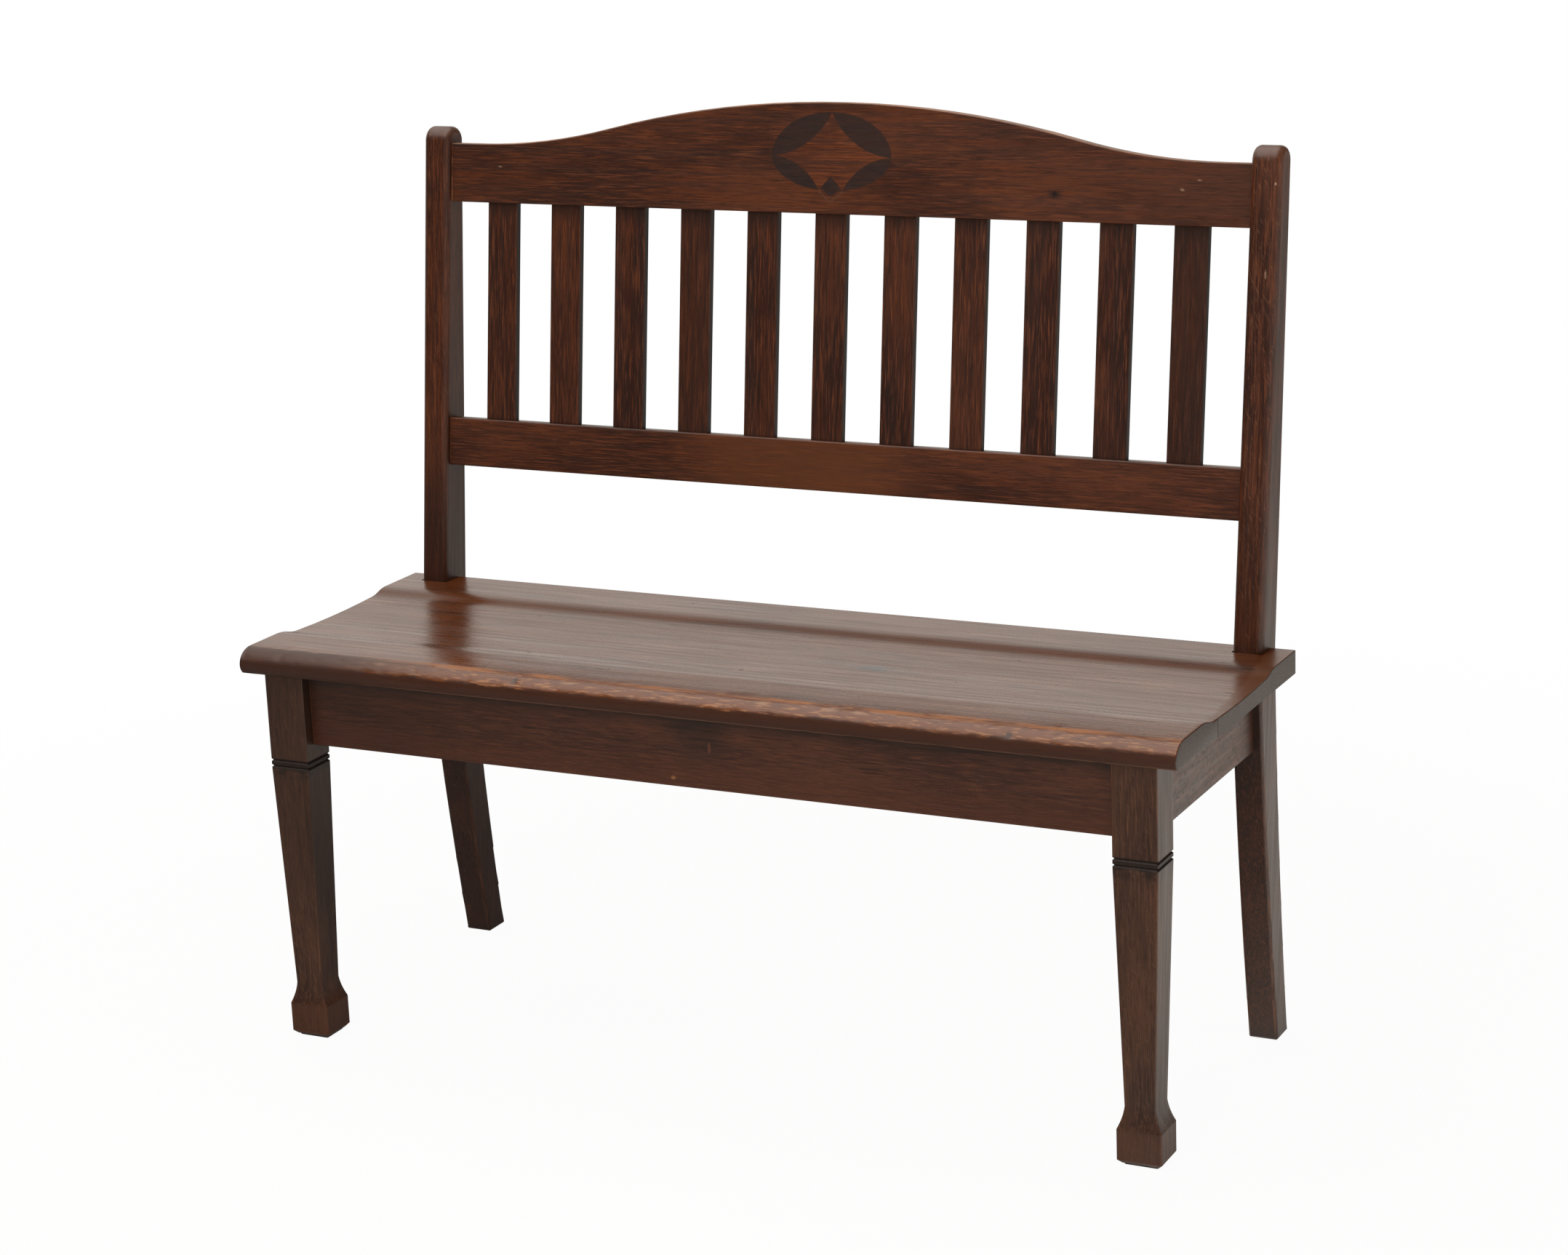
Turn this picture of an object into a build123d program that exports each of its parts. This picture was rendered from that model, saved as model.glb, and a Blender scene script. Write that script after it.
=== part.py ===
from build123d import *
import os
from math import asin, atan, cos, sin, sqrt

# A small oak settle: saddle seat, slatted back, block-footed front legs.
# Lengths are millimetres. X runs along the seat, Y towards the back, Z up.
# The origin is on the floor, below the middle of the overall box.

# Overall frame
leg_spread = 1030          # over the outer faces of the two front legs
post_inset = 3.35          # from the front leg's outer face in to the rear post's
leg_height = 421.3         # floor to the underside of the seat
post_setback = 316.8       # leg front faces back to the post front faces
post_rise = 548.9          # length of a post's front face above the seat's underside
back_rake = 71.7           # how far that face leans back over its length

# Fits shared by all joints
fit = 0.1                  # side clearance of a tenon in its mortise
glue_space = 0.8           # free depth at the bottom of a mortise
cut_overrun = 5            # how far a cut runs past the wood

# Front legs
leg_width = 48
leg_depth = 43.5
leg_arris = 1.5
neck_width = 33
neck_depth = 35
groove_upper_drop = 18     # below the lower edge of the aprons
groove_lower_drop = 24.6
groove_width = 3.2
groove_depth = 1.6
taper_drop = 27.2          # where the taper starts, below the aprons
foot_block_top = 38.5
cove_height = 24
cove_steps = 6
cove_hollow_share = 0.62   # hollow of the cove's curve, as a share of the taper
foot_chamfer = 4

# Pads under the front feet
glide_thickness = 2
glide_inset = 6

# Rear posts, one piece from the floor to the top
post_width = 33.1
post_depth = 50.3          # front to back, where the post meets the seat's underside
top_depth = 35.6           # square to the front face, at the top
foot_depth = 35.2
foot_kick = 52             # how far the foot stands behind the seat joint
leg_bow = 6.2              # hollow of the curved lower leg
post_arris = 3.6
top_round = 16             # roll of the top, front and rear
top_side_round = 7.5
post_foot_chamfer = 2.2

# Aprons
apron_height = 81.1
apron_thickness = 20
apron_arris = 1
front_apron_inset = 14
side_apron_inset = 13.5    # from the outer face of the front leg
rear_apron_inset = 5       # from the post front face at the seat
tenon_thickness = 10
tenon_haunch = 12          # wood left above and below a tenon
front_tenon = 17
side_tenon = 21
post_tenon = 13
rear_tenon = 20
rear_tenon_thickness = 7.5
rear_tenon_inset = 12      # from the front face of the rear apron

# Seat, three boards glued edge to edge and worked to one profile
seat_overhang = 23.5       # beyond the front legs at each end
nose_overhang = 12         # in front of the front legs
seat_rear = 349            # rear edge, behind the leg front faces
ledge_thickness = 25.2
ledge_line = 284           # where the rear ledge starts to fall
dish_rear = 252
dish_front = 104
ridge_line = 60            # top of the low ridge behind the nose
dish_edge_thickness = 19.8
dish_thickness = 18.2
ridge_thickness = 26.4
nose_start = 10            # where the flat strip turns down into the nose
nose_drop = 17
nose_under = 4.5           # how far the nose's lower corner turns back
seat_arris = 1
board_joint_front = 108
board_joint_rear = 229
notch_fit = 0.3

# Dowels in the seat's glue joints
dowel_diameter = 8
dowel_length = 40
dowel_count = 5
dowel_end = 98.5           # from the end of the seat to the first dowel
dowel_height = 9.5         # axis above the underside of the seat
dowel_fit = 0.05

# Back: crest rail, lower rail and slats, parallel to the posts' front faces
rail_setback = 8.6         # from the post fronts in to the rail fronts
rail_thickness = 18
rail_arris = 2
post_horn = 18.5           # of the post above the end of the crest
crest_end_height = 66.5
crest_rise = 54
crest_middle = 4.2         # of the crown, right of the middle
crest_flat = 35.5          # mean straight stretch of the crest's top beside a post
crown_share = 0.63         # of the curve's run, up to where crown turns to hollow
low_rail_bottom = 161.8    # along the post from the seat's underside
low_rail_height = 55.1
rail_tenon = 20
crest_tenon_haunch = 9
low_tenon_haunch = 8
slat_count = 11
slat_end_gap = 46.05       # between a post and the slat beside it
slat_width = 38
slat_thickness = 8.5
slat_tenon = 12
slat_arris = 0.8

# Inlay in the crest
inlay_depth = 2.5
inlay_height = 61.9        # of its side tips above the crest's lower edge
inlay_middle = 0.9         # right of the middle
oval_half_width = 71.4
oval_upper = 47.6
oval_lower = 37
star_upper_across = 25     # a point on each hollow side of the star
star_upper_along = 17
star_lower_across = 28.3
star_lower_along = 18.3
star_foot = 14             # half its width where it stands on the oval
kite_half_width = 12.5
kite_top = 21
kite_side = 34.5
kite_bottom = 43.5
vee_half_width = 15
vee_side = 37.4
vee_bottom = 50
vee_line = 1.2

# Corner blocks and screws
block_reach = 70
block_height = 38
block_drop = 1             # below the top of the aprons
block_fit = 0.2
screw_diameter = 4.2
screw_head = 8.4
screw_head_height = 2.6
screw_fit = 0.05
apron_screw_place = 44     # along the apron from the block's inner corner
apron_screw_bite = 14
seat_screw_bite = 13
slot_width = 1
slot_depth = 1.1
block_nose = 12            # square shoulder left beside each apron
seat_screw_place = 26      # from the inner corner, along both aprons

# Worked-out places
rake = asin(back_rake / post_rise)
front_y = -(
    post_setback
    + (post_rise - top_round) * sin(rake)
    + (top_depth - top_round) * cos(rake)
    + top_round
    - nose_overhang
) / 2
post_y = front_y + post_setback
post_spread = leg_spread - 2 * post_inset
seat_length = leg_spread + 2 * seat_overhang
leg_x = leg_spread / 2 - leg_width / 2
leg_y = front_y + leg_depth / 2
leg_inner_x = leg_spread / 2 - leg_width
post_x = post_spread / 2 - post_width / 2
post_inner_x = post_spread / 2 - post_width
apron_bottom = leg_height - apron_height
apron_tenon_height = apron_height - 2 * tenon_haunch
apron_mid_z = apron_bottom + apron_height / 2
front_apron_y = front_y + front_apron_inset + apron_thickness / 2
side_apron_x = leg_spread / 2 - side_apron_inset - apron_thickness / 2
rear_apron_y = post_y + rear_apron_inset + apron_thickness / 2
rear_tenon_y = post_y + rear_apron_inset + rear_tenon_inset + rear_tenon_thickness / 2
slat_front = rail_setback + (rail_thickness - slat_thickness) / 2
rail_tenon_front = rail_setback + (rail_thickness - tenon_thickness) / 2
crest_bottom = post_rise - post_horn - crest_end_height
crest_tenon_height = crest_end_height - 2 * crest_tenon_haunch
low_tenon_height = low_rail_height - 2 * low_tenon_haunch
low_rail_top = low_rail_bottom + low_rail_height
slat_pitch = (2 * (post_inner_x - slat_end_gap) - slat_width) / (slat_count - 1)
dowel_spacing = (seat_length - 2 * dowel_end) / (dowel_count - 1)

# The plane of the back: X along the settle, Y up the posts, Z out to the front
back_plane = Plane(
    origin=(0, post_y, leg_height),
    x_dir=(1, 0, 0),
    z_dir=(0, -cos(rake), sin(rake)),
)


def back_layer(depth):
    """Return the back plane moved in from the post fronts by a depth."""
    return back_plane.offset(-depth)


os.makedirs("parts", exist_ok=True)


def save(part, label):
    """Name one finished piece and write it to its own file."""
    part.label = label
    export_step(part, "parts/" + label + ".step")


# Front legs: two grooves below the aprons, a taper, a cove and a block foot
def leg_section(side, height, inset_x, inset_y):
    """Draw the eased cross-section of a front leg at one height."""
    with BuildSketch(Plane((side * leg_x, leg_y, height))) as section:
        RectangleRounded(leg_width - 2 * inset_x, leg_depth - 2 * inset_y, leg_arris)
    return section.sketch


def leg_sections(side):
    """List the sections of a front leg from the foot to the seat."""
    taper_x = (leg_width - neck_width) / 2
    taper_y = (leg_depth - neck_depth) / 2
    stations = [
        (glide_thickness, foot_chamfer, foot_chamfer),
        (glide_thickness + foot_chamfer, 0, 0),
        (foot_block_top, 0, 0),
    ]
    for step in range(1, cove_steps):
        share = step / cove_steps
        hollow = share + cove_hollow_share * share * (1 - share)
        stations.append((foot_block_top + share * cove_height, hollow * taper_x, hollow * taper_y))
    stations.append((foot_block_top + cove_height, taper_x, taper_y))
    stations.append((apron_bottom - taper_drop, 0, 0))
    for groove_drop in (groove_lower_drop, groove_upper_drop):
        groove = apron_bottom - groove_drop
        stations.append((groove - groove_width / 2, 0, 0))
        stations.append((groove, groove_depth, groove_depth))
        stations.append((groove + groove_width / 2, 0, 0))
    stations.append((leg_height, 0, 0))
    return [leg_section(side, *station) for station in stations]


def make_front_leg(side):
    """Make the front leg on one side, with mortises for its two aprons."""
    with BuildPart() as leg:
        loft(leg_sections(side), ruled=True)
        with Locations((side * (leg_inner_x + front_tenon / 2), front_apron_y, apron_mid_z)):
            Box(
                front_tenon + 2 * glue_space,
                tenon_thickness + 2 * fit,
                apron_tenon_height + 2 * fit,
                mode=Mode.SUBTRACT,
            )
        with Locations((side * side_apron_x, front_y + leg_depth - side_tenon / 2, apron_mid_z)):
            Box(
                tenon_thickness + 2 * fit,
                side_tenon + 2 * glue_space,
                apron_tenon_height + 2 * fit,
                mode=Mode.SUBTRACT,
            )
    return leg.part


save(make_front_leg(-1), "front_leg_left")
save(make_front_leg(1), "front_leg_right")


# Pads that keep the front feet off the floor
def make_glide(side):
    """Make the square pad under one front foot."""
    with BuildPart() as glide:
        with BuildSketch():
            with Locations((side * leg_x, leg_y)):
                Rectangle(leg_width - 2 * glide_inset, leg_depth - 2 * glide_inset)
        extrude(amount=glide_thickness)
        fillet(glide.edges().filter_by(Axis.Z), glide_thickness)
    return glide.part


save(make_glide(-1), "foot_glide_left")
save(make_glide(1), "foot_glide_right")


# Rear posts: sawn from the flank, bowed leg below and raked post above
def post_outline(plane):
    """Draw a post seen from the side; the plane's X runs to the back."""
    lean = sin(rake)
    stand = cos(rake)

    def along(rise, depth):
        return (
            post_setback + rise * lean + depth * stand,
            leg_height + rise * stand - depth * lean,
        )

    bow = (post_setback + foot_kick / 2 - leg_bow, leg_height / 2)
    knee = (post_setback, leg_height)
    toe = (post_setback + foot_kick, 0)
    heel = (post_setback + foot_kick + foot_depth, 0)
    rear_knee = (post_setback + post_depth, leg_height)
    rear_bow = (bow[0] + (post_depth + foot_depth) / 2, leg_height / 2)
    shoulder = along(post_rise - top_round, 0)
    rear_shoulder = along(post_rise - top_round, top_depth)
    top_front = along(post_rise, top_round)
    top_rear = along(post_rise, top_depth - top_round)
    half_turn = sqrt(2) / 2
    roll = top_round * (1 - half_turn)
    roll_front = along(post_rise - roll, roll)
    roll_rear = along(post_rise - roll, top_depth - roll)
    with BuildSketch(plane) as outline:
        with BuildLine():
            Line(toe, heel)
            ThreePointArc(heel, rear_bow, rear_knee)
            Line(rear_knee, rear_shoulder)
            ThreePointArc(rear_shoulder, roll_rear, top_rear)
            Line(top_rear, top_front)
            ThreePointArc(top_front, roll_front, shoulder)
            Line(shoulder, knee)
            ThreePointArc(knee, bow, toe)
        make_face()
    return outline.sketch


def post_blank(side):
    """Make a post with eased edges, before its mortises are cut."""
    roll_height = leg_height + (post_rise - top_round) * cos(rake)
    flank = Plane(
        origin=(side * post_x - post_width / 2, front_y, 0),
        x_dir=(0, 1, 0),
        z_dir=(1, 0, 0),
    )
    with BuildPart() as sawn:
        extrude(post_outline(flank), amount=post_width)
        chamfer(sawn.edges().group_by(Axis.Z)[0], post_foot_chamfer)
    flank_edges = sawn.part.faces().filter_by(Axis.X).edges()
    top_edges = flank_edges.filter_by(lambda edge: edge.center().Z > roll_height)
    rolled = sawn.part.fillet(top_side_round, top_edges)
    flank_edges = rolled.faces().filter_by(Axis.X).edges()
    long_edges = flank_edges.filter_by(
        lambda edge: 2 * post_foot_chamfer < edge.center().Z < roll_height
    )
    return rolled.fillet(post_arris, long_edges)


def make_rear_post(side):
    """Make one rear post with the mortises for its aprons and rails."""
    with BuildPart() as post:
        add(post_blank(side))
        with BuildSketch(back_layer(rail_tenon_front - fit)):
            mortise_x = side * (post_inner_x + rail_tenon / 2)
            with Locations((mortise_x, crest_bottom + crest_end_height / 2)):
                Rectangle(rail_tenon + 2 * glue_space, crest_tenon_height + 2 * fit)
            with Locations((mortise_x, low_rail_bottom + low_rail_height / 2)):
                Rectangle(rail_tenon + 2 * glue_space, low_tenon_height + 2 * fit)
        extrude(amount=-(tenon_thickness + 2 * fit), mode=Mode.SUBTRACT)
        with Locations((side * side_apron_x, post_y + post_tenon / 2, apron_mid_z)):
            Box(
                tenon_thickness + 2 * fit,
                post_tenon + 2 * glue_space,
                apron_tenon_height + 2 * fit,
                mode=Mode.SUBTRACT,
            )
        with Locations((side * (post_inner_x + rear_tenon / 2), rear_tenon_y, apron_mid_z)):
            Box(
                rear_tenon + 2 * glue_space,
                rear_tenon_thickness + 2 * fit,
                apron_tenon_height + 2 * fit,
                mode=Mode.SUBTRACT,
            )
    return post.part


save(make_rear_post(-1), "rear_post_left")
save(make_rear_post(1), "rear_post_right")


# Aprons: plain boards, tenoned into the legs and posts
def make_front_apron():
    """Make the front apron with a tenon at each end."""
    with BuildPart() as apron:
        with Locations((0, front_apron_y, apron_mid_z)):
            Box(2 * leg_inner_x, apron_thickness, apron_height)
            Box(2 * (leg_inner_x + front_tenon), tenon_thickness, apron_tenon_height)
    return apron.part


def make_rear_apron():
    """Make the rear apron, its tenons towards its rear face."""
    with BuildPart() as apron:
        with Locations((0, rear_apron_y, apron_mid_z)):
            Box(2 * post_inner_x, apron_thickness, apron_height)
        with Locations((0, rear_tenon_y, apron_mid_z)):
            Box(2 * (post_inner_x + rear_tenon), rear_tenon_thickness, apron_tenon_height)
    return apron.part


def make_side_apron(side):
    """Make a side apron; its rear shoulder follows the bowed leg."""
    start = front_y + leg_depth
    end = post_y + foot_kick
    with BuildPart() as apron:
        with Locations((side * side_apron_x, (start + end) / 2, apron_mid_z)):
            Box(apron_thickness, end - start, apron_height)
        add(post_blank(side), mode=Mode.SUBTRACT)
        keep = apron.solids().sort_by(Axis.Y)[0]
    start -= side_tenon
    end = post_y + post_tenon
    with BuildPart() as tenoned:
        add(keep)
        with Locations((side * side_apron_x, (start + end) / 2, apron_mid_z)):
            Box(tenon_thickness, end - start, apron_tenon_height)
    return tenoned.part


# Corner blocks: glued and screwed in the corners, screwed up into the seat
def block_corner(side, end):
    """Return the inner corner of the aprons at one corner of the frame."""
    x = side * (side_apron_x - apron_thickness / 2)
    if end == "front":
        return (x, front_apron_y + apron_thickness / 2, 1)
    return (x, rear_apron_y - apron_thickness / 2, -1)


block_ends = [(-1, "front"), (1, "front"), (-1, "rear"), (1, "rear")]
block_mid_z = leg_height - block_drop - block_height / 2
screw_level = {"along": block_height / 4, "across": -block_height / 4}


def screw_places():
    """List each screw: its point on the head side, its direction, its length."""
    places = []
    for side, end in block_ends:
        x, y, inward = block_corner(side, end)
        middle = apron_screw_place
        span = block_reach - middle
        places.append(
            (
                (x - side * middle, y + inward * span, block_mid_z + screw_level["along"]),
                (0, -inward, 0),
                span + apron_screw_bite,
            )
        )
        places.append(
            (
                (x - side * span, y + inward * middle, block_mid_z + screw_level["across"]),
                (side, 0, 0),
                span + apron_screw_bite,
            )
        )
    return places


def seat_screw_places():
    """List the screws that go up through the blocks into the seat."""
    places = []
    for side, end in block_ends:
        x, y, inward = block_corner(side, end)
        point = (
            x - side * seat_screw_place,
            y + inward * seat_screw_place,
            block_mid_z - block_height / 2,
        )
        places.append((point, (0, 0, 1), block_height + block_drop + seat_screw_bite))
    return places


def screw_plane(point, direction):
    """Set a plane on a screw's head, facing along its shank."""
    across = (1, 0, 0) if direction[0] == 0 else (0, 1, 0)
    return Plane(origin=point, x_dir=across, z_dir=direction)


def screw_shape(point, direction, length, gap):
    """Make a countersunk screw, or with a gap the hole that takes it."""
    foot = (Align.CENTER, Align.CENTER, Align.MIN)
    with BuildPart() as screw:
        with Locations(screw_plane(point, direction)):
            Cylinder(screw_diameter / 2 + gap, length + gap, align=foot)
            Cone(screw_head / 2 + gap, screw_diameter / 2 + gap, screw_head_height, align=foot)
    return screw.part


def make_screws(places, label):
    """Make a set of slotted screws as one node of separate solids."""
    screws = []
    for point, direction, length in places:
        plane = screw_plane(point, direction)
        with BuildPart() as screw:
            add(screw_shape(point, direction, length, 0))
            with BuildSketch(plane):
                Rectangle(screw_head + 2 * cut_overrun, slot_width)
            extrude(amount=slot_depth, mode=Mode.SUBTRACT)
        screws.append(screw.part.solid())
    save(Compound(children=screws), label)


def drill(places):
    """Take the screws' holes out of the piece being made."""
    for place in places:
        add(screw_shape(*place, screw_fit), mode=Mode.SUBTRACT)


def make_block(side, end):
    """Make one corner block, notched round the leg or post where it must be."""
    x, y, inward = block_corner(side, end)
    with BuildPart() as block:
        with BuildSketch(Plane.XY.offset(block_mid_z - block_height / 2)):
            with BuildLine():
                Polyline(
                    (x, y),
                    (x - side * block_reach, y),
                    (x - side * (block_reach - block_nose), y + inward * block_nose),
                    (x - side * block_nose, y + inward * (block_reach - block_nose)),
                    (x, y + inward * block_reach),
                    close=True,
                )
            make_face()
        extrude(amount=block_height)
        if end == "front":
            with Locations((side * leg_x, leg_y, block_mid_z)):
                Box(
                    leg_width + 2 * block_fit,
                    leg_depth + 2 * block_fit,
                    block_height + 2 * cut_overrun,
                    mode=Mode.SUBTRACT,
                )
        else:
            add(post_blank(side), mode=Mode.SUBTRACT)
        drill(screw_places())
        drill(seat_screw_places())
    return block.part


def finish_apron(part, label):
    """Drill an apron for the block screws, ease its lower edges and save it."""
    with BuildPart() as apron:
        add(part)
        lower_edges = apron.edges().group_by(Axis.Z)[0]
        fillet(lower_edges.filter_by(lambda edge: edge.length > 2 * apron_thickness), apron_arris)
        drill(screw_places())
    save(apron.part, label)


finish_apron(make_front_apron(), "front_apron")
finish_apron(make_rear_apron(), "rear_apron")
finish_apron(make_side_apron(-1), "side_apron_left")
finish_apron(make_side_apron(1), "side_apron_right")
for block_side, block_end in block_ends:
    side_name = "left" if block_side < 0 else "right"
    save(make_block(block_side, block_end), "corner_block_" + block_end + "_" + side_name)
make_screws(screw_places(), "apron_screws")
make_screws(seat_screw_places(), "seat_screws")


# Back: two rails between the posts, with the slats tenoned into both
def crest_outline(plane):
    """Draw the crest rail: straight below, a crown between two hollows above."""
    half = post_inner_x
    shoulder = crest_bottom + crest_end_height
    crown = shoulder + crest_rise
    run = half - crest_flat
    turn_angle = 2 * atan(crest_rise / run)
    crown_turn = crown_share * run
    crown_radius = crown_turn / sin(turn_angle)
    turn_height = crown - crown_radius * (1 - cos(turn_angle))
    with BuildSketch(plane) as outline:
        with BuildLine():
            Line((-half, crest_bottom), (half, crest_bottom))
            for side in (-1, 1):
                hollow_end = (crest_middle + side * run, shoulder)
                turning = (crest_middle + side * crown_turn, turn_height)
                Polyline((side * half, crest_bottom), (side * half, shoulder), hollow_end)
                TangentArc(hollow_end, turning, tangent=(-side, 0))
                TangentArc((crest_middle, crown), turning, tangent=(side, 0))
        make_face()
    return outline.sketch


def eased_rail(outline):
    """Thicken a rail's outline and ease its long edges, front and rear."""
    with BuildPart() as rail:
        extrude(outline, amount=-rail_thickness)
        sides = rail.faces().filter_by(
            lambda face: abs(face.normal_at().dot(back_plane.z_dir)) > cos(rake)
        )
        long_edges = sides.edges().filter_by(
            lambda edge: abs(edge.center().X) < post_inner_x - rail_arris
        )
        fillet(long_edges, rail_arris)
    return rail.part


def slat_places(level):
    """List the middles of the slats at one level of the back."""
    first = -(slat_count - 1) / 2
    return [((first + number) * slat_pitch, level) for number in range(slat_count)]


def cut_slat_mortises(level):
    """Cut the mortises for the slats; level is the face that they enter."""
    with BuildSketch(back_layer(slat_front - fit)) as mouths:
        with Locations(slat_places(level)):
            Rectangle(slat_width + 2 * fit, 2 * (slat_tenon + glue_space))
    extrude(mouths.sketch, amount=-(slat_thickness + 2 * fit), mode=Mode.SUBTRACT)


def add_rail_tenons(level, height):
    """Add a tenon to each end of the rail being made."""
    with BuildSketch(back_layer(rail_tenon_front)) as tenons:
        with Locations((0, level)):
            Rectangle(2 * (post_inner_x + rail_tenon), height)
    extrude(tenons.sketch, amount=-tenon_thickness)


# Inlay: dark leaves round a light star, with a kite and a fine chevron below.
# Each piece is drawn flat, about the middle of the oval, then laid on the crest.
def lay_on_crest(drawing):
    """Move a flat drawing of the inlay to its place on the crest's face."""
    middle = back_layer(rail_setback).from_local_coords((inlay_middle, crest_bottom + inlay_height, 0))
    place = Plane(origin=middle, x_dir=back_plane.x_dir, z_dir=back_plane.z_dir)
    return drawing.moved(place.location)


def inlay_kite():
    """Draw the kite below the star."""
    with BuildSketch() as kite:
        with BuildLine():
            Polyline(
                (0, -kite_top),
                (kite_half_width, -kite_side),
                (0, -kite_bottom),
                (-kite_half_width, -kite_side),
                close=True,
            )
        make_face()
    return kite.sketch


def inlay_star():
    """Draw the hollow-sided star, its foot on the oval, cut away behind the kite."""
    left = (-oval_half_width, 0)
    right = (oval_half_width, 0)
    top = (0, oval_upper)
    foot_left = (-star_foot, -oval_lower)
    foot_right = (star_foot, -oval_lower)
    with BuildSketch() as star:
        with BuildLine():
            ThreePointArc(left, (-star_upper_across, star_upper_along), top)
            ThreePointArc(top, (star_upper_across, star_upper_along), right)
            ThreePointArc(right, (star_lower_across, -star_lower_along), foot_right)
            Line(foot_right, foot_left)
            ThreePointArc(foot_left, (-star_lower_across, -star_lower_along), left)
        make_face()
        add(inlay_oval(), mode=Mode.INTERSECT)
        add(inlay_kite(), mode=Mode.SUBTRACT)
    return star.sketch


def inlay_oval():
    """Draw the whole oval, taller above its side tips than below them."""
    with BuildSketch() as oval:
        with BuildLine():
            EllipticalCenterArc((0, 0), oval_half_width, oval_upper, arc_size=180)
            EllipticalCenterArc((0, 0), oval_half_width, oval_lower, arc_size=-180)
        make_face()
    return oval.sketch


def inlay_leaf(side, level):
    """Draw the dark leaf in one quarter of the oval."""
    with BuildSketch() as leaf:
        add(inlay_oval())
        add(inlay_star(), mode=Mode.SUBTRACT)
        add(inlay_kite(), mode=Mode.SUBTRACT)
        with Locations((side * oval_half_width, level * oval_upper)):
            Rectangle(2 * oval_half_width, 2 * oval_upper, mode=Mode.INTERSECT)
    return leaf.sketch


def inlay_chevron():
    """Draw the fine light line round the foot of the kite."""
    slope = (vee_bottom - vee_side) / vee_half_width
    with BuildSketch() as chevron:
        with BuildLine():
            Polyline(
                (-vee_half_width, -vee_side),
                (0, -vee_bottom),
                (vee_half_width, -vee_side),
                (vee_half_width - vee_line, -vee_side),
                (0, slope * vee_line - vee_bottom),
                (vee_line - vee_half_width, -vee_side),
                close=True,
            )
        make_face()
    return chevron.sketch


inlay_outlines = {
    "inlay_star": inlay_star(),
    "inlay_kite": inlay_kite(),
    "inlay_chevron": inlay_chevron(),
    "inlay_leaf_upper_left": inlay_leaf(-1, 1),
    "inlay_leaf_upper_right": inlay_leaf(1, 1),
    "inlay_leaf_lower_left": inlay_leaf(-1, -1),
    "inlay_leaf_lower_right": inlay_leaf(1, -1),
}

for inlay_label, inlay_outline in inlay_outlines.items():
    with BuildPart() as inlay_piece:
        extrude(lay_on_crest(inlay_outline), amount=-inlay_depth)
    save(inlay_piece.part, inlay_label)

with BuildPart() as crest_rail:
    add(eased_rail(crest_outline(back_layer(rail_setback))))
    add_rail_tenons(crest_bottom + crest_end_height / 2, crest_tenon_height)
    cut_slat_mortises(crest_bottom)
    for recess in (inlay_oval(), inlay_kite(), inlay_chevron()):
        extrude(lay_on_crest(recess), amount=-inlay_depth, mode=Mode.SUBTRACT)
save(crest_rail.part, "crest_rail")

with BuildSketch(back_layer(rail_setback)) as low_rail_outline:
    with Locations((0, low_rail_bottom + low_rail_height / 2)):
        Rectangle(2 * post_inner_x, low_rail_height)
with BuildPart() as lower_back_rail:
    add(eased_rail(low_rail_outline.sketch))
    add_rail_tenons(low_rail_bottom + low_rail_height / 2, low_tenon_height)
    cut_slat_mortises(low_rail_top)
save(lower_back_rail.part, "lower_back_rail")

slat_middle = (low_rail_top + crest_bottom) / 2
slat_length = crest_bottom - low_rail_top + 2 * slat_tenon
for slat_number, slat_place in enumerate(slat_places(slat_middle), start=1):
    with BuildPart() as slat:
        with BuildSketch(back_layer(slat_front)):
            with Locations(slat_place):
                Rectangle(slat_width, slat_length)
        extrude(amount=-slat_thickness)
        fillet(slat.edges().filter_by(lambda edge: edge.length > slat_width), slat_arris)
    save(slat.part, "slat_%02d" % slat_number)


# Seat: one profile along the whole length, in three boards
def seat_outline(plane):
    """Draw the seat's profile; the plane's X runs to the back from the legs."""
    ledge = leg_height + ledge_thickness
    dish = leg_height + dish_edge_thickness
    ridge = leg_height + ridge_thickness
    dish_middle = ((dish_front + dish_rear) / 2, leg_height + dish_thickness)
    fall_middle = ((ledge_line + dish_rear) / 2, (ledge + dish) / 2)
    rise_middle = ((dish_front + ridge_line) / 2, (dish + ridge) / 2)
    nose_tip = (-nose_overhang, ridge - nose_drop)
    nose_corner = (nose_under - nose_overhang, leg_height)
    with BuildSketch(plane) as outline:
        with BuildLine():
            Polyline((seat_rear, leg_height), (seat_rear, ledge), (ledge_line, ledge))
            TangentArc((ledge_line, ledge), fall_middle, tangent=(-1, 0))
            TangentArc((dish_rear, dish), fall_middle, tangent=(1, 0))
            ThreePointArc((dish_rear, dish), dish_middle, (dish_front, dish))
            TangentArc((dish_front, dish), rise_middle, tangent=(-1, 0))
            TangentArc((ridge_line, ridge), rise_middle, tangent=(1, 0))
            Line((ridge_line, ridge), (nose_start, ridge))
            EllipticalCenterArc(
                (nose_start, ridge - nose_drop),
                nose_start + nose_overhang,
                nose_drop,
                start_angle=90,
                arc_size=90,
            )
            TangentArc(nose_tip, nose_corner, tangent=(0, -1))
            Line(nose_corner, (seat_rear, leg_height))
        make_face()
    return outline.sketch


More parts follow.
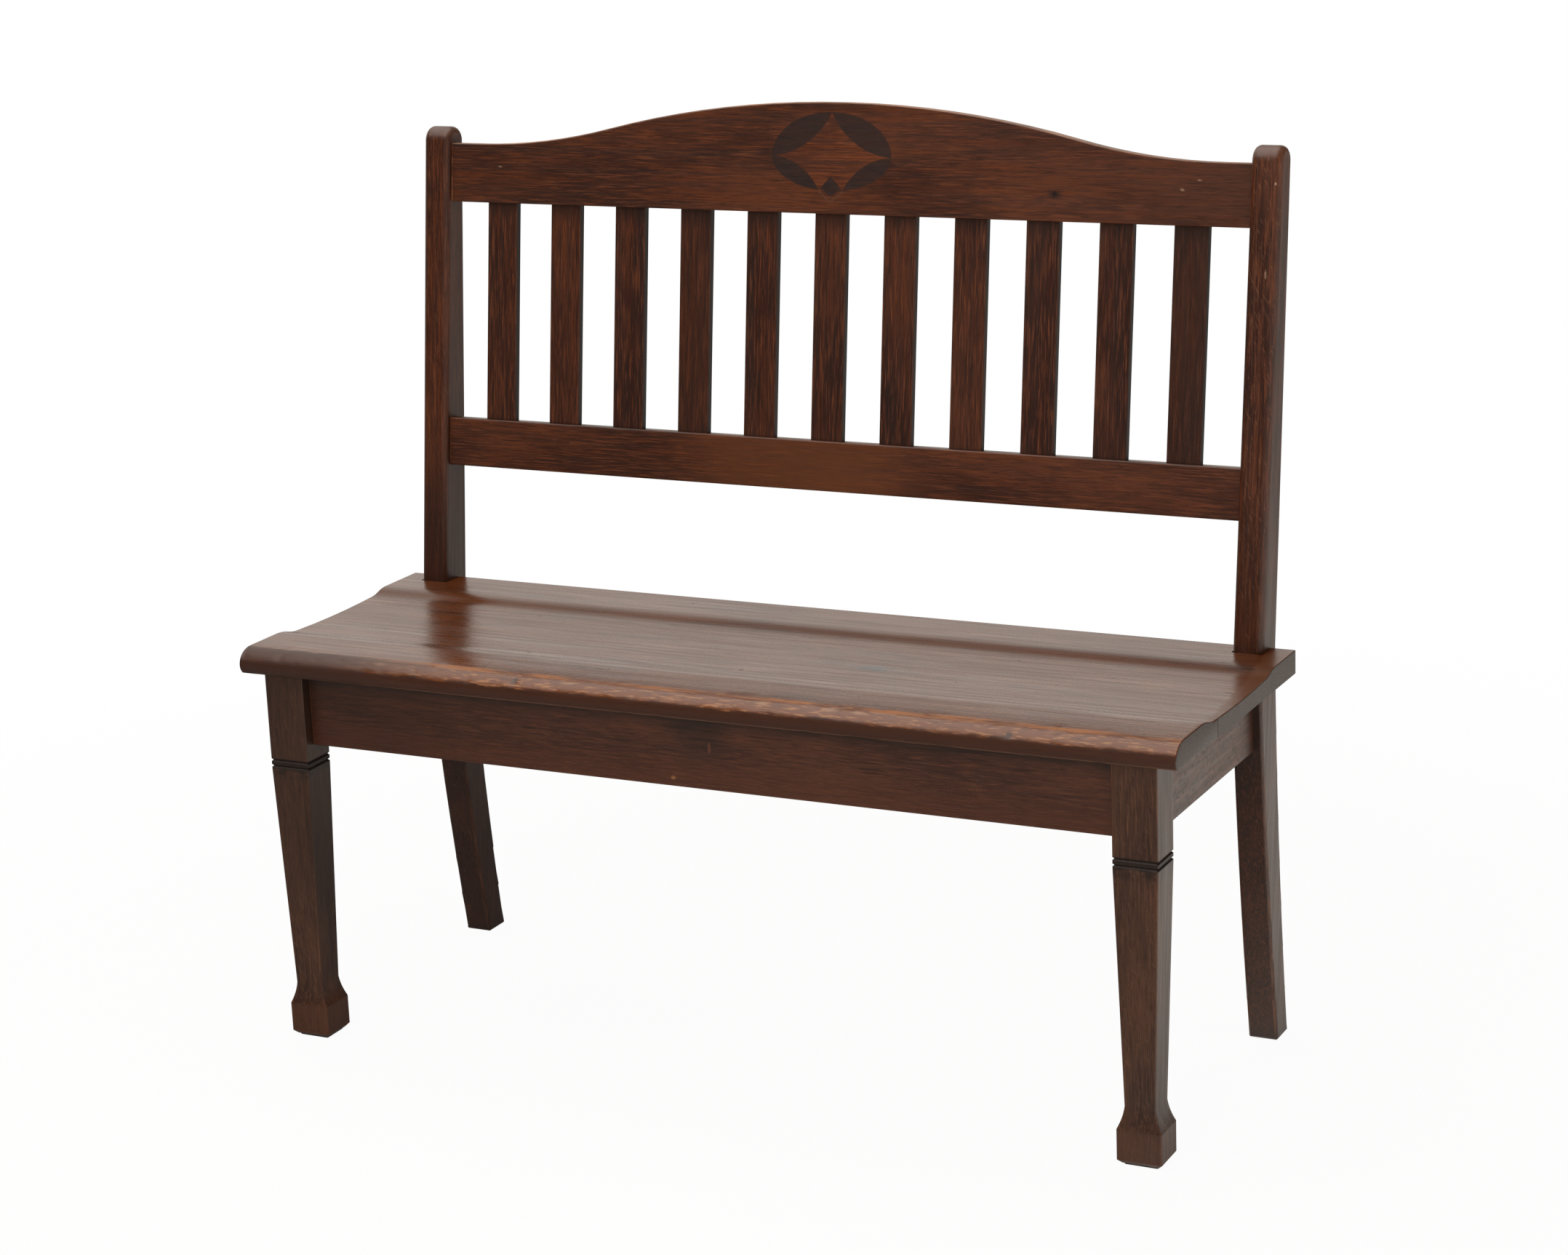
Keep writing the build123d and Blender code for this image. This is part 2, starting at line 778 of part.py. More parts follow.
def make_seat_board(label, front, rear):
    """Cut one board of the seat between two glue joints."""
    flank = Plane(origin=(-seat_length / 2, front_y, 0), x_dir=(0, 1, 0), z_dir=(1, 0, 0))
    with BuildPart() as board:
        extrude(seat_outline(flank), amount=seat_length)
        if front is not None:
            split(bisect_by=Plane.XZ.offset(-(front_y + front)), keep=Keep.BOTTOM)
        if rear is not None:
            split(bisect_by=Plane.XZ.offset(-(front_y + rear)), keep=Keep.TOP)
        else:
            for side in (-1, 1):
                face = (side * post_x, post_y, leg_height)
                with Locations(Plane(origin=face, x_dir=(1, 0, 0), z_dir=(0, sin(rake), cos(rake)))):
                    Box(
                        post_width + 2 * notch_fit,
                        seat_rear - post_setback + cut_overrun,
                        2 * (ledge_thickness + cut_overrun),
                        align=(Align.CENTER, Align.MIN, Align.CENTER),
                        mode=Mode.SUBTRACT,
                    )
        for joint in (front, rear):
            if joint is not None:
                with Locations(dowel_places(joint)):
                    Cylinder(
                        dowel_diameter / 2 + dowel_fit,
                        dowel_length + 2 * glue_space,
                        rotation=(90, 0, 0),
                        mode=Mode.SUBTRACT,
                    )
        ends = board.faces().filter_by(
            lambda face: abs(face.center().X) > seat_length / 2 - seat_arris
        )
        top_edges = ends.edges().filter_by(
            lambda edge: edge.center().Z > leg_height + nose_under
            and edge.length > nose_drop / 2
            and abs(edge.tangent_at(1 / 2).Z) < cos(rake)
        )
        fillet(top_edges, seat_arris)
        drill(seat_screw_places())
    save(board.part, label)


def dowel_places(joint):
    """List the middles of the dowels along one glue joint."""
    first = -(dowel_count - 1) / 2
    return [
        ((first + number) * dowel_spacing, front_y + joint, leg_height + dowel_height)
        for number in range(dowel_count)
    ]


make_seat_board("seat_board_front", None, board_joint_front)
make_seat_board("seat_board_middle", board_joint_front, board_joint_rear)
make_seat_board("seat_board_rear", board_joint_rear, None)

with BuildPart() as seat_dowels:
    for joint in (board_joint_front, board_joint_rear):
        with Locations(dowel_places(joint)):
            Cylinder(dowel_diameter / 2, dowel_length, rotation=(90, 0, 0))
save(seat_dowels.part, "seat_dowels")
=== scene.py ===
import math
import bmesh
import bpy
from mathutils import Matrix, Vector, noise


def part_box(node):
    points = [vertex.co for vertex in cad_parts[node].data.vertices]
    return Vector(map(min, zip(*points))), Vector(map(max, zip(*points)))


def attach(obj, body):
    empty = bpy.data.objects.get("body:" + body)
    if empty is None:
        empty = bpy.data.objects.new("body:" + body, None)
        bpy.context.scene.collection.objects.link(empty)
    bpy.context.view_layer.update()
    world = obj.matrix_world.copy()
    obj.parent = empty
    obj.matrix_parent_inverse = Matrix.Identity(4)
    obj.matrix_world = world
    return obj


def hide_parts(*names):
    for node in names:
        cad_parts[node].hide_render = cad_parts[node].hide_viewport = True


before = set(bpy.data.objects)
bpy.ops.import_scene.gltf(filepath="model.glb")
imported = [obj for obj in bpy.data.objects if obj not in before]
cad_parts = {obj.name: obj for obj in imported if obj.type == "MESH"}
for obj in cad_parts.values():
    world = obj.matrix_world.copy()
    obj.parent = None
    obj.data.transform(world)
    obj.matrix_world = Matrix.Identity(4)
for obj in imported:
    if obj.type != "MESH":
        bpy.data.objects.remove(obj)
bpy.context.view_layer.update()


# Rear posts: two square oak posts, each sawn in one piece from the floor to its rolled top,
# bowed below the seat and raked above it. The oak is cut on the quarter, so its rays show as
# small flecks. The rails and aprons are tenoned into the posts, which are stained in place.
def add_node(tree, kind, inputs=None, **options):
    """Add a node, set its options, and set or link its inputs."""
    node = tree.nodes.new(kind)
    for option, value in options.items():
        setattr(node, option, value)
    for socket, value in (inputs or {}).items():
        if isinstance(value, bpy.types.NodeSocket):
            tree.links.new(value, node.inputs[socket])
        else:
            node.inputs[socket].default_value = value
    return node


def sum_of(tree, first, *others):
    """Add values."""
    for other in others:
        first = add_node(tree, "ShaderNodeMath", {0: first, 1: other}, operation="ADD").outputs[0]
    return first


def product(tree, first, *others):
    """Multiply values."""
    for other in others:
        first = add_node(tree, "ShaderNodeMath", {0: first, 1: other}, operation="MULTIPLY").outputs[0]
    return first


def ramp(tree, value, start, end, low=0.0, high=1.0):
    """Rise smoothly from low to high while the value goes from start to end."""
    inputs = {"Value": value, "From Min": start, "From Max": end, "To Min": low, "To Max": high}
    node = add_node(tree, "ShaderNodeMapRange", inputs, interpolation_type="SMOOTHSTEP")
    return node.outputs["Result"]


def tint(tree, share, under, over):
    """Lay one colour over another by a share."""
    over = over if isinstance(over, bpy.types.NodeSocket) else (*over, 1.0)
    under = under if isinstance(under, bpy.types.NodeSocket) else (*under, 1.0)
    node = add_node(tree, "ShaderNodeMix", {0: share, 6: under, 7: over}, data_type="RGBA")
    return node.outputs[2]


def streaks(tree, coords, grain, across, along, detail=3.0):
    """Noise in cells per metre across and along the grain."""
    cells = [along if axis == grain else across for axis in "XYZ"]
    stretched = add_node(tree, "ShaderNodeMapping", {"Vector": coords, "Scale": cells})
    inputs = {"Vector": stretched.outputs[0], "Scale": 1.0, "Detail": detail, "Roughness": 0.6}
    return add_node(tree, "ShaderNodeTexNoise", inputs).outputs[0]


def stained_colour(tree, figure, deep, body, warm, warmth):
    """Colour of the stain, deep in the pores and warm where the grain is open."""
    cloud, band, fine, pore = figure
    tone = sum_of(tree, product(tree, band, 0.4), product(tree, fine, 0.3), product(tree, cloud, 0.3))
    colour = tint(tree, ramp(tree, tone, 0.38, 0.56, low=0.35), deep, body)
    glow = product(tree, ramp(tree, cloud, 0.38, 0.66), ramp(tree, band, 0.36, 0.70, low=0.5), warmth)
    colour = tint(tree, glow, colour, warm)
    colour = tint(tree, ramp(tree, fine, 0.50, 0.68, high=warmth), colour, warm)
    return tint(tree, ramp(tree, pore, 0.54, 0.68, high=0.6), colour, deep)


def stranded_colour(tree, coords, grain, colour, deep, warm, strand):
    """Add short strands, some lighter and some darker, along the grain."""
    light = streaks(tree, coords, grain, across=760.0, along=30.0, detail=2.0)
    colour = tint(tree, ramp(tree, light, 0.54, 0.68, high=strand), colour, warm)
    dark = streaks(tree, coords, grain, across=640.0, along=18.0, detail=2.0)
    return tint(tree, ramp(tree, dark, 0.46, 0.32, high=strand), colour, deep)


def flecked_colour(tree, coords, grain, colour, bare, fleck):
    """Add the slanting flecks of the rays in quartered oak."""
    slant = (0.0, math.radians(25), math.radians(15))
    slanted = add_node(tree, "ShaderNodeMapping", {"Vector": coords, "Rotation": slant}).outputs[0]
    ray = streaks(tree, slanted, grain, across=520.0, along=110.0, detail=1.0)
    return tint(tree, ramp(tree, ray, 0.60, 0.72, high=fleck), colour, bare)


def rubbed_arris(tree, place, coords, grain, spared):
    """Share of the stain rubbed off an arris, in patches, and none round a spared centre."""
    arris_reach = 0.0024
    spared_edge = 0.01
    rounded = add_node(tree, "ShaderNodeBevel", {"Radius": arris_reach}, samples=6).outputs[0]
    flat = add_node(tree, "ShaderNodeNewGeometry").outputs["True Normal"]
    alike = add_node(tree, "ShaderNodeVectorMath", {0: rounded, 1: flat}, operation="DOT_PRODUCT")
    arris = ramp(tree, alike.outputs["Value"], 0.995, 0.88)
    if spared:
        centre, reach = spared
        away = add_node(tree, "ShaderNodeVectorMath", {0: place, 1: centre}, operation="DISTANCE")
        arris = product(tree, arris, ramp(tree, away.outputs["Value"], reach, reach + spared_edge))
    patches = streaks(tree, coords, grain, across=60.0, along=14.0)
    return product(tree, arris, ramp(tree, patches, 0.36, 0.62, low=0.2))


def grain_relief(tree, coords, grain, band, pore):
    """Normals of a surface that is a little wavy, raised in bands and sunk at the pores."""
    relief_height = 0.0006
    waves = streaks(tree, coords, grain, across=22.0, along=7.0, detail=1.0)
    relief = sum_of(tree, product(tree, band, 0.8), product(tree, pore, -0.5), product(tree, waves, 1.6))
    inputs = {"Height": relief, "Strength": 0.30, "Distance": relief_height}
    return add_node(tree, "ShaderNodeBump", inputs).outputs[0]


def stained_wood(
    name, grain, deep, body, warm, bare, lean=0.0, shift=0.0, warmth=0.5, wear=0.5, fleck=0.0, sheen=0.40,
    grime_and_shade=0.9, polish=1.7, strand=0.5, spared=None
):
    """Wood under stain and wax, rubbed pale along its arrises, with dirt and painted shade in the corners.

    The grain is the axis that it runs along. Of the colours, deep lies in the pores, body is
    the common one, warm shows in light bands, and bare where the stain is rubbed off. The
    figure is turned by lean and moved by shift. Warmth, wear, fleck and strand are shares, and
    so is the share of dirt and painted shade in the corners. Sheen is the roughness of the wax,
    and polish its index of refraction.
    """
    material = bpy.data.materials.new(name)
    material.use_nodes = True
    tree = material.node_tree
    shader = tree.nodes["Principled BSDF"]
    shader.inputs["IOR"].default_value = polish
    place = add_node(tree, "ShaderNodeTexCoord").outputs["Object"]
    inputs = {"Vector": place, "Rotation": (lean, 0.0, 0.0), "Location": (shift, shift, shift)}
    coords = add_node(tree, "ShaderNodeMapping", inputs).outputs[0]

    cloud = streaks(tree, coords, grain, across=11.0, along=4.0, detail=2.0)
    band = streaks(tree, coords, grain, across=150.0, along=6.0)
    fine = streaks(tree, coords, grain, across=560.0, along=24.0, detail=2.0)
    pore = streaks(tree, coords, grain, across=1250.0, along=60.0, detail=1.0)
    colour = stained_colour(tree, (cloud, band, fine, pore), deep, body, warm, warmth)
    colour = stranded_colour(tree, coords, grain, colour, deep, warm, strand)
    if fleck:
        colour = flecked_colour(tree, coords, grain, colour, bare, fleck)

    corner_reach = 0.030
    # The ambient occlusion paints shade, with some dirt, into the corners between parts.
    shade = add_node(tree, "ShaderNodeAmbientOcclusion", {"Distance": corner_reach}, samples=4)
    colour = tint(tree, ramp(tree, shade.outputs["AO"], 0.90, 0.40, high=grime_and_shade), colour, deep)
    rubbed = rubbed_arris(tree, place, coords, grain, spared)
    colour = tint(tree, product(tree, rubbed, wear), colour, bare)
    tree.links.new(colour, shader.inputs["Base Color"])

    gloss = ramp(tree, band, 0.3, 0.7, low=sheen + 0.06, high=sheen - 0.04)
    tree.links.new(gloss, shader.inputs["Roughness"])
    tree.links.new(grain_relief(tree, coords, grain, band, pore), shader.inputs["Normal"])
    return material


def cover(material, share, colour, roughness=None):
    """Lay a colour, and a roughness, over what a finish has so far."""
    tree = material.node_tree
    shader = tree.nodes["Principled BSDF"]
    under = shader.inputs["Base Color"].links[0].from_socket
    tree.links.new(tint(tree, share, under, colour), shader.inputs["Base Color"])
    if roughness is not None:
        smooth = shader.inputs["Roughness"].links[0].from_socket
        mixed = add_node(tree, "ShaderNodeMix", {0: share, 2: smooth, 3: roughness}, data_type="FLOAT")
        tree.links.new(mixed.outputs[0], shader.inputs["Roughness"])


def place_on(material, axis=None):
    """Return a point's place on the piece, whole or along one axis."""
    tree = material.node_tree
    coords = add_node(tree, "ShaderNodeTexCoord").outputs["Object"]
    if axis is None:
        return coords
    return add_node(tree, "ShaderNodeSeparateXYZ", {"Vector": coords}).outputs[axis]


def mark(material, centre, reach, colour, share):
    """Lay one small ragged mark of a colour on a piece."""
    tree = material.node_tree
    coords = place_on(material)
    scale = [1 / size for size in reach]
    start = [-place / size for place, size in zip(centre, reach)]
    inputs = {"Vector": coords, "Location": start, "Scale": scale}
    local = add_node(tree, "ShaderNodeMapping", inputs).outputs[0]
    away = add_node(tree, "ShaderNodeVectorMath", {0: local}, operation="LENGTH").outputs["Value"]
    ragged = sum_of(tree, away, streaks(tree, coords, "X", across=500.0, along=300.0, detail=1.0))
    cover(material, ramp(tree, ragged, 1.5, 0.9, high=share), colour)


def finish_node(node, material):
    """Give a piece of the frame its material."""
    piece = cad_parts[node]
    piece.data.materials.clear()
    piece.data.materials.append(material)


post_rise = 0.5489
post_setback = 0.0717
back_rake = math.asin(post_setback / post_rise)
post_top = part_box("rear_post_left")[1].z
shade_start = 0.66
shade_full = 0.50
oak_deep = (0.018, 0.0056, 0.0028)
oak_body = (0.042, 0.0078, 0.0017)
oak_warm = (0.145, 0.0360, 0.0085)
oak_bare = (0.230, 0.0900, 0.0340)
right_body = (0.044, 0.0084, 0.0014)
rolled_top_highlight = (0.210, 0.1150, 0.0800)
pale_nick = (0.36, 0.22, 0.14)
left_oak = stained_wood(
    "post_oak_left", "Z", oak_deep, oak_body, oak_warm, oak_bare, lean=back_rake, wear=0.7, fleck=0.15,
    strand=0.7
)
right_oak = stained_wood(
    "post_oak_right", "Z", oak_deep, right_body, oak_warm, oak_bare, lean=back_rake, shift=1.0, warmth=0.6,
    wear=0.9, fleck=0.3, strand=0.7
)
post_nicks = (
    ((0.5065, 0.1785, 0.9266), (0.0016, 0.003, 0.0018), 0.9),
    ((0.4994, 0.1664, 0.8350), (0.0014, 0.003, 0.0060), 0.5),
)
for place, reach, share in post_nicks:
    mark(right_oak, place, reach, pale_nick, share)
for post_oak, shade_share in ((left_oak, 0.65), (right_oak, 0.35)):
    post_tree = post_oak.node_tree
    up = place_on(post_oak, "Z")
    cover(post_oak, ramp(post_tree, up, shade_start, shade_full, high=shade_share), oak_deep)
    # Painted highlight on the rolled tops of the posts.
    cover(post_oak, ramp(post_tree, up, post_top - 0.0155, post_top - 0.0015, high=0.35), rolled_top_highlight)
finish_node("rear_post_left", left_oak)
finish_node("rear_post_right", right_oak)


# Front legs: two square oak legs that taper down to a cove and a block foot, with two fine
# grooves cut round them below the aprons. Old wax and dirt have turned the grooves black.
apron_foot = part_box("front_apron")[0].z
groove_top = apron_foot - 0.0156
groove_foot = apron_foot - 0.0270
groove_edge = 0.0008
dirt_foot = groove_foot - 0.016
foot_block_top = 0.0385
leg_body = (0.051, 0.0205, 0.0112)
leg_warm = (0.110, 0.0400, 0.0160)
groove_black = (0.009, 0.005, 0.004)
old_dirt = (0.012, 0.007, 0.005)
left_shade = (0.015, 0.0080, 0.0055)
foot_red = (0.095, 0.0270, 0.0085)
leg_oak = stained_wood(
    "leg_oak", "Z", oak_deep, leg_body, leg_warm, oak_bare, shift=2.0, wear=0.8, fleck=0.15, strand=0.4
)
leg_tree = leg_oak.node_tree
along = place_on(leg_oak, "X")
up = place_on(leg_oak, "Z")
grooved = product(
    leg_tree,
    ramp(leg_tree, up, groove_foot - groove_edge, groove_foot + groove_edge),
    ramp(leg_tree, up, groove_top + groove_edge, groove_top - groove_edge),
    0.85,
)
cover(leg_oak, grooved, groove_black, 0.6)
smudges = streaks(leg_tree, place_on(leg_oak), "X", across=160.0, along=60.0, detail=2.0)
dirty = product(
    leg_tree,
    ramp(leg_tree, smudges, 0.40, 0.62),
    ramp(leg_tree, up, dirt_foot, groove_foot),
    ramp(leg_tree, up, groove_top, groove_foot),
    0.8,
)
cover(leg_oak, dirty, old_dirt)
shaded = product(leg_tree, ramp(leg_tree, along, -0.40, -0.48, high=0.45), ramp(leg_tree, up, 0.10, 0.20))
cover(leg_oak, shaded, left_shade)
cover(leg_oak, ramp(leg_tree, up, foot_block_top + 0.0075, foot_block_top - 0.0065, high=0.40), foot_red)
for side in ("left", "right"):
    finish_node("front_leg_" + side, leg_oak)


# Glides: square pads of hard dark fibre, pinned under the front feet to keep them off the
# floor.
fibre_deep = (0.010, 0.009, 0.008)
fibre_body = (0.022, 0.020, 0.018)
fibre_warm = (0.03, 0.025, 0.02)
fibre_bare = (0.05, 0.045, 0.04)
fibre = stained_wood(
    "glide_fibre", "X", fibre_deep, fibre_body, fibre_warm, fibre_bare, warmth=0.1, wear=0.3, sheen=0.6,
    polish=1.5
)
for side in ("left", "right"):
    finish_node("foot_glide_" + side, fibre)


# Aprons: four plain oak boards below the seat, tenoned into the legs and posts. The one at
# the front is dark with handling, has painted shade along its top under the seat, and is
# redder below.
apron_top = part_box("front_apron")[1].z
apron_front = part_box("front_apron")[0].y
apron_deep = (0.026, 0.0095, 0.0056)
apron_body = (0.062, 0.0200, 0.0105)
apron_warm = (0.120, 0.0360, 0.0120)
apron_red = (0.088, 0.0230, 0.0088)
hand_dirt_and_shade = (0.013, 0.0100, 0.0090)
apron_oak = stained_wood(
    "apron_oak", "X", apron_deep, apron_body, apron_warm, oak_bare, shift=5.0, wear=0.5, warmth=0.4,
    strand=0.75
)
apron_tree = apron_oak.node_tree
along = place_on(apron_oak, "X")
up = place_on(apron_oak, "Z")
cover(apron_oak, ramp(apron_tree, up, apron_foot + 0.0458, apron_foot + 0.0098, high=0.40), apron_red)
cover(apron_oak, ramp(apron_tree, along, -0.10, -0.40, high=0.45), oak_deep)
# Painted shade along the top of the apron, under the seat's nose.
cover(apron_oak, ramp(apron_tree, up, apron_top - 0.0233, apron_top - 0.0033, high=0.45), hand_dirt_and_shade)
handled = product(
    apron_tree,
    ramp(apron_tree, along, -0.050, -0.005),
    ramp(apron_tree, along, 0.060, 0.018, high=0.45),
    ramp(apron_tree, up, apron_foot + 0.0148, apron_foot + 0.0548),
)
cover(apron_oak, handled, hand_dirt_and_shade)
apron_nicks = (
    ((0.0213, apron_front, 0.3858), (0.0022, 0.004, 0.0075), (0.17, 0.050, 0.022), 0.5),
    ((-0.0221, apron_front, 0.3492), (0.0040, 0.004, 0.0025), (0.30, 0.12, 0.035), 0.6),
)
for place, reach, colour, share in apron_nicks:
    mark(apron_oak, place, reach, colour, share)
finish_node("front_apron", apron_oak)
finish_node("rear_apron", apron_oak)

flank_body = (0.066, 0.0200, 0.0095)
flank_dry = (0.020, 0.0100, 0.0070)
flank_oak = stained_wood(
    "flank_oak", "Y", oak_deep, flank_body, oak_warm, oak_bare, shift=6.0, wear=0.5, strand=0.7
)
flank_tree = flank_oak.node_tree
patches = streaks(flank_tree, place_on(flank_oak), "Y", across=260.0, along=170.0)
cover(flank_oak, ramp(flank_tree, patches, 0.50, 0.66, high=0.55), flank_dry, 0.55)
for side in ("left", "right"):
    finish_node("side_apron_" + side, flank_oak)


# Corner blocks: four blocks of plain pine, glued and screwed into the corners of the frame
# and never stained.
pine_deep = (0.21, 0.105, 0.042)
pine_body = (0.40, 0.24, 0.115)
pine_warm = (0.46, 0.26, 0.11)
pine_bare = (0.50, 0.34, 0.19)
block_pine = stained_wood(
    "block_pine", "X", pine_deep, pine_body, pine_warm, pine_bare, shift=51.0, warmth=0.4, wear=0.3,
    sheen=0.6, polish=1.5
)
for end in ("front", "rear"):
    for side in ("left", "right"):
        finish_node("corner_block_" + end + "_" + side, block_pine)


# Block screws: eight slotted steel wood screws, two through each corner block into the
# aprons, gone grey and lightly rusted.
def rusted_steel(name, steel, rust):
    """Steel with a bloom of rust, which is rougher and mirrors less."""
    material = bpy.data.materials.new(name)
    material.use_nodes = True
    tree = material.node_tree
    shader = tree.nodes["Principled BSDF"]
    bloom = ramp(tree, streaks(tree, place_on(material), "X", across=420.0, along=420.0), 0.42, 0.66)
    tree.links.new(tint(tree, bloom, steel, rust), shader.inputs["Base Color"])
    tree.links.new(ramp(tree, bloom, 0.0, 1.0, low=0.42, high=0.75), shader.inputs["Roughness"])
    tree.links.new(ramp(tree, bloom, 0.0, 1.0, low=1.0, high=0.2), shader.inputs["Metallic"])
    return material


grey_steel = (0.30, 0.29, 0.28)
brown_rust = (0.14, 0.052, 0.020)
screw_steel = rusted_steel("screw_steel", grey_steel, brown_rust)
finish_node("apron_screws", screw_steel)


# Back rails: a straight lower rail and a crest sawn to a low hump, tenoned between the
# posts. The crest has lost its stain along the top, where a highlight is painted as well,
# has painted shade towards its right end, and has a small dark knot.
def facing(material, axis):
    """Return how far a face is turned to an axis."""
    tree = material.node_tree
    turned = add_node(tree, "ShaderNodeNewGeometry").outputs["True Normal"]
    return add_node(tree, "ShaderNodeSeparateXYZ", {"Vector": turned}).outputs[axis]


rail_body = (0.062, 0.0145, 0.0046)
rail_rubbed = (0.150, 0.0420, 0.0105)
rail_oak = stained_wood(
    "rail_oak", "X", oak_deep, rail_body, oak_warm, oak_bare, lean=back_rake, shift=11.0, warmth=0.7
)
rail_tree = rail_oak.node_tree
along = place_on(rail_oak, "X")
rubbed_middle = product(
    rail_tree, ramp(rail_tree, along, -0.22, -0.10), ramp(rail_tree, along, 0.16, 0.04, high=0.45)
)
cover(rail_oak, rubbed_middle, rail_rubbed)
finish_node("lower_back_rail", rail_oak)

crest_body = (0.056, 0.0130, 0.0038)
crest_bare = (0.36, 0.15, 0.07)
crest_top_bare_and_highlight = (0.42, 0.190, 0.100)
inlay_centre = (0.0009, 0.1860, 0.9482)
inlay_reach = 0.080
crest_oak = stained_wood(
    "crest_oak", "X", oak_deep, crest_body, oak_warm, crest_bare, lean=back_rake, shift=17.0, warmth=0.65,
    wear=1.0, spared=(inlay_centre, inlay_reach)
)
crest_tree = crest_oak.node_tree
patches = streaks(crest_tree, place_on(crest_oak), "X", across=60.0, along=14.0)
# The top faces are rubbed bare and also carry a painted highlight.
bared_and_highlit = product(
    crest_tree,
    ramp(crest_tree, facing(crest_oak, "Z"), 0.35, 0.75),
    ramp(crest_tree, patches, 0.34, 0.60, low=0.35, high=0.85),
)
cover(crest_oak, bared_and_highlit, crest_top_bare_and_highlight, 0.5)
# Painted shade towards the right end of the crest.
cover(crest_oak, ramp(crest_tree, place_on(crest_oak, "X"), 0.20, 0.46, high=0.25), oak_deep)
knot_place = (0.2618, 0.1848, 0.9085)
knot_ring = (0.026, 0.0100, 0.0060)
knot_heart = (0.008, 0.005, 0.004)
mark(crest_oak, knot_place, (0.0110, 0.006, 0.0060), knot_ring, 0.7)
mark(crest_oak, knot_place, (0.0048, 0.006, 0.0038), knot_heart, 0.8)
crest_nicks = (
    ((0.4036, 0.1859, 0.9168), (0.0034, 0.004, 0.0018), 0.5),
    ((0.4222, 0.1872, 0.9269), (0.0030, 0.004, 0.0014), 0.5),
    ((-0.4143, 0.1864, 0.9208), (0.0034, 0.004, 0.0014), 0.4),
)
for place, reach, share in crest_nicks:
    mark(crest_oak, place, reach, pale_nick, share)
finish_node("crest_rail", crest_oak)


# Slats: eleven flat oak slats, tenoned into both rails. The crest's shadow is painted across
# their tops, and their narrow sides are darkened nearly black.
def size_of(tree, value):
    """Return a value without its sign."""
    return add_node(tree, "ShaderNodeMath", {0: value}, operation="ABSOLUTE").outputs[0]


slat_count = 11
slat_body = (0.032, 0.0068, 0.0026)
slat_top_shadow = (0.014, 0.0055, 0.0035)
slat_side_black = (0.010, 0.005, 0.004)
crest_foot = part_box("crest_rail")[0].z
fourth_low, fourth_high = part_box("slat_04")
eleventh_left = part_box("slat_11")[0].x
slat_oak = stained_wood(
    "slat_oak", "Z", oak_deep, slat_body, oak_warm, oak_bare, lean=back_rake, shift=21.0, warmth=0.45,
    wear=0.25, strand=0.8
)
slat_tree = slat_oak.node_tree
along = place_on(slat_oak, "X")
up = place_on(slat_oak, "Z")
# Painted shadow of the crest across the tops of the slats.
cover(slat_oak, ramp(slat_tree, up, crest_foot - 0.022, crest_foot, high=0.60), slat_top_shadow)
fourth = product(
    slat_tree,
    ramp(slat_tree, along, fourth_low.x - 0.020, fourth_low.x - 0.010),
    ramp(slat_tree, along, fourth_high.x + 0.020, fourth_high.x + 0.010, high=0.35),
)
cover(slat_oak, fourth, oak_deep)
cover(slat_oak, ramp(slat_tree, along, eleventh_left - 0.020, eleventh_left - 0.010, high=0.50), oak_deep)
# The narrow sides are darkened nearly black.
sideways = size_of(slat_tree, facing(slat_oak, "X"))
cover(slat_oak, ramp(slat_tree, sideways, 0.5, 0.9, high=0.85), slat_side_black, 0.6)
for number in range(1, slat_count + 1):
    finish_node("slat_%02d" % number, slat_oak)


# Inlay: thin veneers let into the crest, a reddish star between four dark leaves, with a
# dark kite and a fine light chevron below it.
star_deep = (0.034, 0.0090, 0.0032)
star_body = (0.112, 0.0245, 0.0056)
star_warm = (0.175, 0.044, 0.009)
star_wood = stained_wood(
    "star_wood", "X", star_deep, star_body, star_warm, oak_bare, lean=back_rake, shift=31.0, warmth=0.8,
    wear=0.0
)
leaf_deep = (0.014, 0.008, 0.007)
leaf_body = (0.038, 0.0165, 0.0115)
leaf_wood = stained_wood(
    "leaf_wood", "X", leaf_deep, leaf_body, oak_body, oak_bare, lean=back_rake, shift=32.0, warmth=0.1,
    wear=0.0
)
line_body = (0.12, 0.06, 0.04)
line_warm = (0.16, 0.08, 0.05)
line_wood = stained_wood(
    "line_wood", "X", oak_body, line_body, line_warm, oak_bare, lean=back_rake, shift=33.0, wear=0.0
)
finish_node("inlay_star", star_wood)
finish_node("inlay_kite", leaf_wood)
finish_node("inlay_chevron", line_wood)
for side in ("left", "right"):
    for level in ("upper", "lower"):
        finish_node("inlay_leaf_" + level + "_" + side, leaf_wood)


# Seat, middle and rear boards: two of the three oak boards that are glued edge to edge and
# worked to one profile. They are waxed, polished by use and a little scratched and marked.
seat_joints = (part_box("seat_board_middle")[0].y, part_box("seat_board_middle")[1].y)
seat_body = (0.120, 0.0300, 0.0080)
seat_warm = (0.270, 0.0780, 0.0180)
seat_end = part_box("seat_board_middle")[1].x
joint_reach = 0.0010
joint_core = 0.0003
ledge_foot = 0.047
ledge_top = 0.079
joint_dirt = (0.012, 0.007, 0.005)
speck_black = (0.014, 0.008, 0.006)
ledge_shade = (0.040, 0.0160, 0.0095)
rubbed_dull = (0.150, 0.0400, 0.0100)
scratch_dull = (0.110, 0.0290, 0.0080)
end_light_orange = (0.150, 0.0520, 0.0200)
end_brown = (0.034, 0.0170, 0.0115)
end_black = (0.010, 0.0065, 0.0055)


